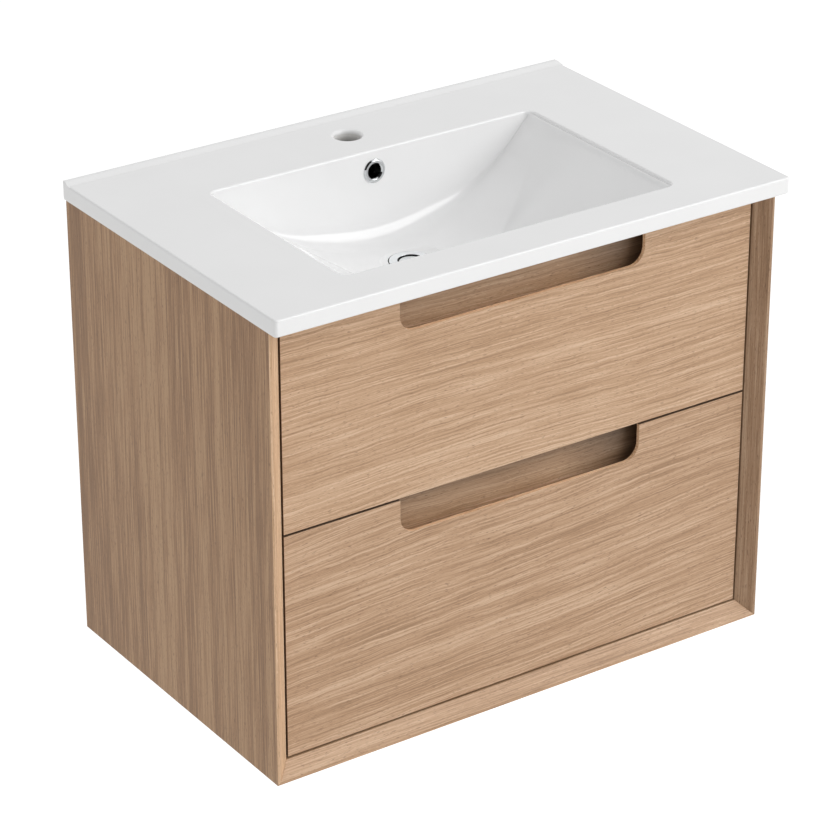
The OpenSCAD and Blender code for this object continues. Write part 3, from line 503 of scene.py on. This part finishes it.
def bowlForm(name, grow):
    # sections in columns across the bowl: front wall, parabola, floor, parabola, back wall; with grow 0 it is
    # the hollow, and grown by the shell it is the ceramic round it
    half, corner, rimRound = basin["bowlHalf"], basin["bowlCorner"], basin["rimRound"]
    frontAngle, backAngle = math.radians(basin["frontLean"]), math.radians(basin["backLean"])
    turn = np.radians(np.linspace(90, 0, basin["cornerColumns"], endpoint=False))
    straight = half - corner
    x = np.concatenate([
        -straight - corner * np.sin(turn), np.linspace(-straight, straight, basin["columns"]),
        straight + corner * np.sin(turn[::-1])])
    angle = np.concatenate([turn, np.zeros(basin["columns"]), turn[::-1]])
    inset = corner * (1 - np.cos(angle))
    wallTop = levels["deck"] - rimRound
    frontY = basin["bowlFront"] + inset - grow / math.cos(frontAngle)
    backY = basin["bowlBack"] - inset + grow / math.cos(backAngle)
    stations = np.linspace(basin["scoopStart"], basin["scoopEnd"], basin["stations"])
    floor = bowlFloor(x[:, None], stations[None, :]) - grow
    floorLine = np.stack([np.broadcast_to(stations, floor.shape), floor], -1)

    def pair(y, z):
        # Y and Z of one point in every column
        return np.stack([np.broadcast_to(y, x.shape), np.broadcast_to(z, x.shape)], 1)

    frontFoot = pair(frontY + (wallTop - floor[:, 0]) * math.tan(frontAngle), floor[:, 0])
    backFoot = pair(backY - (wallTop - floor[:, -1]) * math.tan(backAngle), floor[:, -1])
    backReach = basin["backBlend"] * (1 - (x / half) ** 2) ** basin["blendFade"] + 1
    section = np.concatenate([
        easedCorner(frontFoot, pair(frontY, wallTop), floorLine[:, 0], basin["frontBlend"]),
        floorLine,
        easedCorner(backFoot, floorLine[:, -1], pair(backY, wallTop), backReach)], 1)
    rimTurn = np.linspace(0, basin["rimTurn"], basin["rimSteps"])
    if grow:
        # straight up, to end 0.5 mm inside the top
        rise = np.append((rimRound - 1) * np.sin(rimTurn), rimRound - 0.5)
        flare = np.zeros(len(rise))
    else:
        # the rounded edge, then a flat slope that leaves the deck at a clear angle and ends 0.4 mm over it
        rise, flare = rimRound * np.sin(rimTurn), rimRound * (1 - np.cos(rimTurn))
        step = rimRound + 0.4 - rise[-1]
        rise = np.append(rise, rise[-1] + step)
        flare = np.append(flare, flare[-1] + step * math.tan(rimTurn[-1]))
    rise = rise + wallTop
    side = np.sign(x) * np.sin(angle)
    grownX = x + np.sign(x) * grow * np.abs(x) / half

    def rim(edgeY, direction):
        # the rounded edge at the front or back, flaring away from the bowl
        return np.stack([
            grownX[:, None] + side[:, None] * flare[None, :],
            edgeY[:, None] + direction * np.cos(angle)[:, None] * flare[None, :],
            np.broadcast_to(rise, (len(x), len(rise)))], -1)

    body = np.concatenate([np.broadcast_to(grownX[:, None, None], section.shape[:2] + (1,)), section], -1)
    points = np.concatenate([rim(frontY, -1)[:, ::-1], body, rim(backY, 1)], 1)
    count, size = points.shape[:2]
    faces = gridFaces(count, size)
    rings = len(rise)
    # the side rims: the end sections carried up the same rounded edge, point by point
    ends, sideLid = [], []
    start, sectionSize = count * size, size - 2 * rings
    for end in (0, count - 1):
        y = np.linspace(0, 1, sectionSize) * (backY[end] - frontY[end]) + frontY[end]
        y[1:-1] = points[end, rings + 1:size - rings - 1, 1]
        rows = np.stack([
            np.broadcast_to(grownX[end] + side[end] * flare[:, None], (rings, sectionSize)),
            np.broadcast_to(y, (rings, sectionSize)),
            np.broadcast_to(rise[:, None], (rings, sectionSize))], -1)
        strip = np.concatenate([points[end, rings:size - rings][None], rows])
        ends.append(strip.reshape(-1, 3))
        faces += (np.array(gridFaces(rings + 1, sectionSize)) + start).tolist()
        sideLid.append([start + rings * sectionSize + k for k in range(1, sectionSize - 1)])
        start += strip.shape[0] * strip.shape[1]
    backLid = [i * size + size - 1 for i in range(count)]
    frontLid = [i * size for i in reversed(range(count))]
    faces.append(backLid + sideLid[1][::-1] + frontLid + sideLid[0])
    return meshFrom(name, np.concatenate([points.reshape(-1, 3)] + ends), faces, [whiteGlaze])


def roundedBox(name, x0, x1, y0, y1, z0, z1, corner, edge, materials):
    # rounded outlines stacked upwards, drawn in along a quarter circle at the lower and upper edges
    quarter = np.linspace(0, halfPi, 8)
    inset = np.concatenate([edge * (1 - np.cos(quarter[::-1])), edge * (1 - np.cos(quarter))])
    height = np.concatenate([z0 + edge * (1 - np.sin(quarter[::-1])), z1 - edge * (1 - np.sin(quarter))])
    loops = []
    for drawnIn, z in zip(inset, height):
        outline = roundedOutline(x0, x1, y0, y1, corner, drawnIn)
        loops.append(np.column_stack([outline, np.full(len(outline), z)]))
    return meshFrom(name, np.concatenate(loops), tubeFaces(len(loops), len(loops[0])), materials)


def plainBox(name, x0, x1, y0, y1, z0, z1, materials):
    # eight corners and six faces
    corners = [(x, y, z) for z in (z0, z1) for x, y in ((x0, y0), (x1, y0), (x1, y1), (x0, y1))]
    faces = [[0, 1, 2, 3], [4, 5, 6, 7], [0, 1, 5, 4], [1, 2, 6, 5], [2, 3, 7, 6], [3, 0, 4, 7]]
    return meshFrom(name, corners, faces, materials)


def drum(name, radius, z0, z1, centre, materials, segments=96):
    # a closed cylinder about the Z axis
    angle = np.linspace(0, 2 * math.pi, segments, endpoint=False)
    ring = np.stack([centre[0] + radius * np.cos(angle), centre[1] + radius * np.sin(angle)], 1)
    points = np.concatenate([np.column_stack([ring, np.full(segments, z)]) for z in (z0, z1)])
    return meshFrom(name, points, tubeFaces(2, segments), materials)


def lipStrip():
    # the lip's section in Y and Z carried along X, cut back to the rounded ends of the top; the section
    # rises from the deck by t * t * (3 - 2 * t) and ends in a quarter circle at the wall
    deck, rise, width = levels["deck"], basin["lipHeight"], basin["lipWidth"]
    edge, half, corner = basin["edgeRound"], basin["width"] / 2, basin["cornerRound"]
    t = np.linspace(0, 1, 25)
    profile = np.concatenate([
        [(0, deck - edge), (-width, deck - edge)],
        np.column_stack([-width + t * (width - basin["lipCrown"]), deck + rise * t * t * (3 - 2 * t)]),
        arcPoints((-edge, deck + rise - edge), edge, 90, 0, 10)])
    roundOff = edge * np.sin(np.linspace(0, halfPi, 10))
    endX = half - edge + roundOff
    x = np.concatenate([-endX[::-1], np.linspace(-half + corner, half - corner, 60), endX])
    x = np.unique(np.round(x, 4))
    over = np.clip(np.abs(x) - half + edge, 0, edge)
    topLimit = deck + rise - edge + np.sqrt(edge ** 2 - over ** 2)
    turn = np.clip(np.abs(x) - half + corner, 0, corner)
    backLimit = -corner + np.sqrt(corner ** 2 - turn ** 2)
    y = np.minimum(profile[None, :, 0], backLimit[:, None])
    z = np.minimum(profile[None, :, 1], topLimit[:, None])
    points = np.stack([np.broadcast_to(x[:, None], y.shape), y, z], -1)
    return meshFrom("basinLip", points.reshape(-1, 3), tubeFaces(len(x), len(profile)), [whiteGlaze])


def overflowPlace():
    # the turn and shift that set a piece square to the leaning back wall of the bowl
    lean = math.radians(basin["backLean"])
    turn = [[1, 0, 0], [0, math.sin(lean), -math.cos(lean)], [0, math.cos(lean), math.sin(lean)]]
    drop = basin["overflowDrop"]
    y = basin["bowlBack"] - (drop - basin["rimRound"]) * math.tan(lean)
    return turn, (0, y, levels["deck"] - drop)


def paintedLathe(name, profile, below, place, materials):
    # a turned piece whose faces under a height take the second material
    piece = lathe(name, profile, materials)
    centre, _ = faceArrays(piece)
    return placed(paintFaces(piece, centre[:, 2] < below), upright, place)


def ductBoxes(name, wall, top, material):
    # the duct's upright and foot, drawn in by wall for the hollow
    half, low = duct["half"] - wall, levels["valley"] - basin["bossDrop"]
    front, back, skin = duct["front"] + wall, duct["back"] - wall, duct["skin"]
    return [
        plainBox(name + "Upright", -half, half, front, back, low + wall, top, [material]),
        plainBox(
            name + "Foot", -half + skin, half - skin, levels["wasteY"], back - skin,
            low + wall + skin, low + duct["footHeight"] - wall, [material])]


def makeBasin():
    # the casting: a rounded top with the bowl's body, boss and duct added, then the hollows and holes taken
    # out, then the lip joined on
    half, seat, deck, valley = basin["width"] / 2, levels["seat"], levels["deck"], levels["valley"]
    axis, bossZ = (0, levels["wasteY"]), levels["valley"] - basin["bossDrop"]
    piece = roundedBox(
        "ceramicBasin", -half, half, -basin["depth"], 0, seat, deck,
        basin["cornerRound"], basin["edgeRound"], [whiteGlaze, paintedShadeBlack])
    added = [
        bowlForm("bowlBody", basin["shell"]),
        drum("wasteBoss", basin["boss"], bossZ, valley - 3, axis, [whiteGlaze]),
        *ductBoxes("duct", 0, seat + 3, whiteGlaze),
    ]
    turn, shift = overflowPlace()
    radius, mouth, beyond = basin["tapRadius"], basin["tapMouth"], basin["overshoot"]
    tapProfile = np.concatenate([
        [(0, -basin["tapDepth"]), (radius, -basin["tapDepth"]), (radius, -mouth - 1)],
        arcPoints((radius + mouth, -mouth), mouth, 180, 90, 8),
        [(radius + mouth, beyond), (0, beyond)]])
    taken = [
        *ductBoxes("hollow", duct["wall"], seat - 4, paintedShadeBlack),
        placed(drum("overflowHole", basin["sleeveHole"], -18, 12, (0, 0), [paintedShadeBlack]), turn, shift),
        bowlForm("bowlHollow", 0),
        paintedLathe("wasteRecess", basin["dish"], basin["jointTop"], wasteCentre, [whiteGlaze, paintedShadeBlack]),
        drum("wasteOpening", basin["wasteHole"], bossZ - 1, deck - 50, axis, [whiteGlaze]),
        paintedLathe(
            "tapOpening", tapProfile, -mouth - 0.5, (0, basin["tapY"], deck), [whiteGlaze, rawCeramicPaintedShade]),
    ]
    for operation, tools in (("UNION", added), ("DIFFERENCE", taken)):
        for tool in tools:
            applyModifier(
                piece, "BOOLEAN", operation=operation, object=tool, solver="EXACT", material_mode="TRANSFER")
            bpy.data.objects.remove(tool)
    tidyMesh(piece.data)
    lip = lipStrip()
    bpy.ops.object.select_all(action="DESELECT")
    lip.select_set(True)
    piece.select_set(True)
    bpy.context.view_layer.objects.active = piece
    bpy.ops.object.join()
    smoothShading(piece)
    return piece


ceramicBasin = makeBasin()
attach(ceramicBasin, "cabinet")
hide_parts("basin", "basin_bowl")


ring = {"inner": 9.8, "sleeve": 11.4, "outer": 15.8, "proud": 2.4, "length": 12}


def makeOverflowRing():
    # a sleeve with a collar, bevelled to the outside and to the inside
    r = ring
    profile = [
        (r["inner"], -r["length"]), (r["sleeve"], -r["length"]), (r["sleeve"], 0.3),
        (r["outer"], 0.3), (r["outer"], 0.6), (r["outer"] - 1.6, 2.1), (r["outer"] - 2.2, r["proud"]),
        (r["inner"] + 1.7, r["proud"]), (r["inner"] + 1.2, 2.1), (r["inner"], 0.6)]
    turn, shift = overflowPlace()
    return placed(lathe("overflowCollar", profile, [polishedChrome]), turn, shift)


waste = {
    "flange": 28.5, "mouth": 17.6, "tail": 20.95, "bore": 15.4, "ledge": -36, "tailEnd": -90,
    "reliefTop": -49, "reliefBottom": -51, "reliefDepth": 1.2, "roll": 1.2,
    "button": 16, "crown": 0.4, "crownDrop": 1.7, "stem": 4, "shoulder": -14,
}


def darkInside(piece, radius, top):
    # paints near-black painted shade on the faces within a radius of the waste's axis and below a height over
    # the valley, in mm
    piece.data.materials.append(paintedShadeBlack)
    centre, _ = faceArrays(piece)
    centre = centre - wasteCentre
    paintFaces(piece, (np.hypot(centre[:, 0], centre[:, 1]) < radius) & (centre[:, 2] < top))


def makeWaste():
    # flange with a rolled edge and a dished mouth over the threaded tail
    w = waste
    profile = np.concatenate([
        [(w["bore"], w["tailEnd"]), (w["tail"] - 1, w["tailEnd"]), (w["tail"], w["tailEnd"] + 1),
         (w["tail"], w["reliefBottom"]), (w["tail"] - w["reliefDepth"], w["reliefBottom"]),
         (w["tail"] - w["reliefDepth"], w["reliefTop"]), (w["tail"], w["reliefTop"]),
         (w["tail"], -3), (w["flange"] - 0.3, -3), (w["flange"], -2.7)],
        arcPoints((w["flange"] - w["roll"], -1.3), w["roll"], 0, 80, 8),
        [(w["flange"] - 4, -0.05), (w["mouth"] + 2, -0.05)],
        arcPoints((w["mouth"] + 0.5, -0.55), 0.5, 90, 180, 5),
        [(w["mouth"], -1), (w["mouth"], w["ledge"]), (w["bore"], w["ledge"])]])
    piece = placed(lathe("wasteFlange", profile, [polishedChrome]), upright, wasteCentre)
    darkInside(piece, w["mouth"] + 0.3, -0.45)         # painted shade inside the mouth
    return piece


def makeButton():
    # a dome that falls with the square of the radius, a rolled edge, a skirt, and the stem with its shoulder
    w = waste
    radius = np.linspace(w["button"] - w["roll"], 0, 12)
    dome = np.column_stack([radius, w["crown"] - w["crownDrop"] * (radius / w["button"]) ** 2])
    profile = np.concatenate([
        [(0, -34), (w["stem"] - 0.5, -34), (w["stem"], -33.5), (w["stem"], w["shoulder"]),
         (w["stem"] + 2.2, w["shoulder"]), (w["stem"] + 2.2, -4.2),
         (w["button"] - 0.8, -4.2), (w["button"], -3.6)],
        arcPoints((w["button"] - 1.0, -2.2), 1.0, 0, 68, 6), dome])
    piece = placed(lathe("popupButton", profile, [polishedChrome]), upright, wasteCentre)
    darkInside(piece, w["button"] + 1, -2.1)           # painted shade under the button
    return piece


for piece, body, node in (
        (makeOverflowRing(), "cabinet", "overflow_ring"),
        (makeWaste(), "cabinet", "waste_body"),
        (makeButton(), "popup", "waste_button")):
    tidyMesh(piece.data, reach=0.01)
    smoothShading(piece)
    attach(piece, body)
    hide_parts(node)
print("chrome pieces made")


# oak panels: name, body, veneer of the faces and of the edges, slot
panels = {
    "upper_front": ("upperFrontPanel", "upper_drawer", upperFrontOak, frontEdgePaintedShadeOak, "oak_front"),
    "lower_front": ("lowerFrontPanel", "lower_drawer", lowerFrontOak, frontEdgePaintedShadeOak, "oak_front"),
    "side_left": ("leftSidePanel", "cabinet", leftSideOak, stripPaintedHighlightOak, "oak_carcass"),
    "side_right": ("rightSidePanel", "cabinet", rightSideOak, rightSideOak, "oak_carcass"),
    "bottom_panel": ("bottomPanel", "cabinet", bottomOak, bottomOak, "oak_carcass"),
}
easing = {
    "radius": 0.7,                # mm, as sanding leaves the veneer's edges
    "outer": 0.5,                 # mm from a front's outline that count as its outer edge
    "lip": 6,                     # mm from a front's face that count as the lip of its pull
}


def paintEdges(piece, node, edgeMaterial):
    # the outer edges of a front take the edge material, painted shade of the gaps round it, and the lip of its
    # finger pull takes the lip oak, painted light; on a side or the bottom, the front strip and bevel take the
    # edge material, which on the left side is a painted highlight
    piece.data.materials.append(edgeMaterial)
    centre, normal = faceArrays(piece)
    if node.endswith("_front"):
        piece.data.materials.append(lipPaintedLightOak)
        low, high = (np.array(corner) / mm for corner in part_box(node))
        near = (centre < low + easing["outer"]) | (centre > high - easing["outer"])
        outer = near[:, 0] | near[:, 2]
        sideways = np.abs(normal[:, 1]) < 0.3
        inLip = ~outer & sideways & (centre[:, 1] < low[1] + easing["lip"])
        paintFaces(piece, (outer & sideways) + 2 * inLip)
    else:
        paintFaces(piece, normal[:, 1] < -0.5)


def easedCopy(node, name, material):
    # a merged copy of the node's mesh with flat faces joined and its sharp edges rounded
    mesh = frame["nodes"][node].data.copy()
    mesh.name = name
    work = bmesh.new()
    work.from_mesh(mesh)
    bmesh.ops.remove_doubles(work, verts=work.verts, dist=0.005 * mm)
    bmesh.ops.dissolve_limit(
        work, angle_limit=math.radians(0.5), verts=work.verts, edges=work.edges, delimit={"NORMAL"})
    work.to_mesh(mesh)
    work.free()
    mesh.materials.clear()
    mesh.materials.append(material)
    piece = bpy.data.objects.new(name, mesh)
    bpy.context.scene.collection.objects.link(piece)
    applyModifier(
        piece, "BEVEL", width=easing["radius"] * mm, segments=3, limit_method="ANGLE",
        angle_limit=math.radians(30), use_clamp_overlap=True)
    smoothShading(piece)
    return piece


for node, (name, body, material, edgeMaterial, slotName) in panels.items():
    panel = easedCopy(node, name, material)
    paintEdges(panel, node, edgeMaterial)
    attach(panel, body)
    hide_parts(node)
print("oak panels made")


studio = {
    "floorDrop": 0.9,             # metres from the cabinet's underside to the floor
    "floorHalf": 12.0,            # metres
    "paper": ((0.3, "#f4f4f3"), (0.7, "#f5f5f4")),
    "glow": 0.42,                 # lifts the paper to white as seen and mirrored
    "ambient": 0.60,
    # what chrome and glaze mirror: a white room that is dark in the direction of the camera
    "mirrored": (0.85, 0.03),
    "fade": (0.60, 0.76),         # cosines of the angles to that direction between which it goes dark
    "toCamera": (-0.52, -0.74, 0.42),
    "aim": (0.0, -0.25, 0.1),
    # lamps: direction they stand in, distance, width and height in metres, watts, and whether only mirrored
    "key": ((0.60, -0.62, 0.515), 11.0, 7.5, 7.5, 512.0, False),
    "card": ((0.56, -0.76, 0.33), 7.0, 3.0, 6.6, 70.0, True),
}
photoCamera = {
    "lens": 148.14, "sensor": 36,     # mm
    "place": (-2.22309, -3.48440, 1.95578),
    "down": 63.480, "turn": -34.336,  # degrees from straight down, and from looking along +Y
}


def makeLamp(name):
    direction, distance, width, height, power, mirroredOnly = studio[name]
    lamp = bpy.data.lights.new(name + "Softbox", "AREA")
    lamp.shape = "RECTANGLE"
    lamp.size, lamp.size_y = width, height
    lamp.energy = power
    lampObject = bpy.data.objects.new(name + "Softbox", lamp)
    direction = Vector(direction).normalized()
    lampObject.location = Vector(studio["aim"]) + direction * distance
    lampObject.rotation_euler = direction.to_track_quat("Z", "Y").to_euler()
    lampObject.visible_diffuse = not mirroredOnly
    bpy.context.scene.collection.objects.link(lampObject)


def makeFloor():
    low, half = cadBox[0][2] - studio["floorDrop"], studio["floorHalf"]
    corners = [(-half, -half, low), (half, -half, low), (half, half, low), (-half, half, low)]
    mesh = bpy.data.meshes.new("studioFloor")
    mesh.from_pydata(corners, [], [[0, 1, 2, 3]])
    floor = bpy.data.objects.new("studioFloor", mesh)
    bpy.context.scene.collection.objects.link(floor)
    material, tree, shader = newMaterial("studioFloorPaper", Roughness=0.9)
    place = addNode(tree, "ShaderNodeTexCoord").outputs["Object"]
    cloud = addNode(tree, "ShaderNodeTexNoise", {"Vector": place, "Scale": 0.8})
    paper = colourStops(tree, cloud.outputs["Fac"], studio["paper"])
    tree.links.new(paper, shader.inputs["Base Color"])
    rays = addNode(tree, "ShaderNodeLightPath").outputs
    seen = arithmetic(tree, "MAXIMUM", rays["Is Camera Ray"], rays["Is Glossy Ray"])
    shader.inputs["Emission Color"].default_value = (1, 1, 1, 1)
    tree.links.new(arithmetic(tree, "MULTIPLY", seen, studio["glow"]), shader.inputs["Emission Strength"])
    mesh.materials.append(material)


def makeWorld():
    # white behind the object, ambient light on it, and the room that it mirrors
    world = bpy.data.worlds.new("studioWorld")
    bpy.context.scene.world = world
    world.use_nodes = True
    sky = world.node_tree
    rays = addNode(sky, "ShaderNodeLightPath").outputs
    direction = addNode(sky, "ShaderNodeTexCoord").outputs["Generated"]
    toCamera = np.array(studio["toCamera"]) / np.linalg.norm(studio["toCamera"])
    facing = addNode(
        sky, "ShaderNodeVectorMath", {0: direction, 1: toCamera.tolist()}, operation="DOT_PRODUCT")
    (away, towards), (start, end) = studio["mirrored"], studio["fade"]
    mirrored = addNode(sky, "ShaderNodeMapRange", {
        "Value": facing.outputs["Value"], "From Min": start, "From Max": end,
        "To Min": away, "To Max": towards}).outputs[0]
    seen = arithmetic(sky, "MAXIMUM", rays["Is Camera Ray"], rays["Is Transmission Ray"])
    lit = addNode(sky, "ShaderNodeMix", {
        0: rays["Is Glossy Ray"], 2: studio["ambient"], 3: mirrored}, data_type="FLOAT").outputs[0]
    background = sky.nodes["Background"].inputs
    background["Color"].default_value = (1, 1, 1, 1)
    sky.links.new(arithmetic(sky, "MAXIMUM", lit, seen), background["Strength"])


def makeCamera():
    camera = bpy.data.cameras.new("photoCamera")
    camera.lens, camera.sensor_width = photoCamera["lens"], photoCamera["sensor"]
    camera.clip_end = 100
    cameraObject = bpy.data.objects.new("photoCamera", camera)
    cameraObject.location = photoCamera["place"]
    cameraObject.rotation_euler = (math.radians(photoCamera["down"]), 0, math.radians(photoCamera["turn"]))
    bpy.context.scene.collection.objects.link(cameraObject)
    bpy.context.scene.camera = cameraObject


makeFloor()
makeWorld()
makeLamp("key")
makeLamp("card")
makeCamera()
bpy.context.scene.view_settings.view_transform = "Standard"
print("studio made")
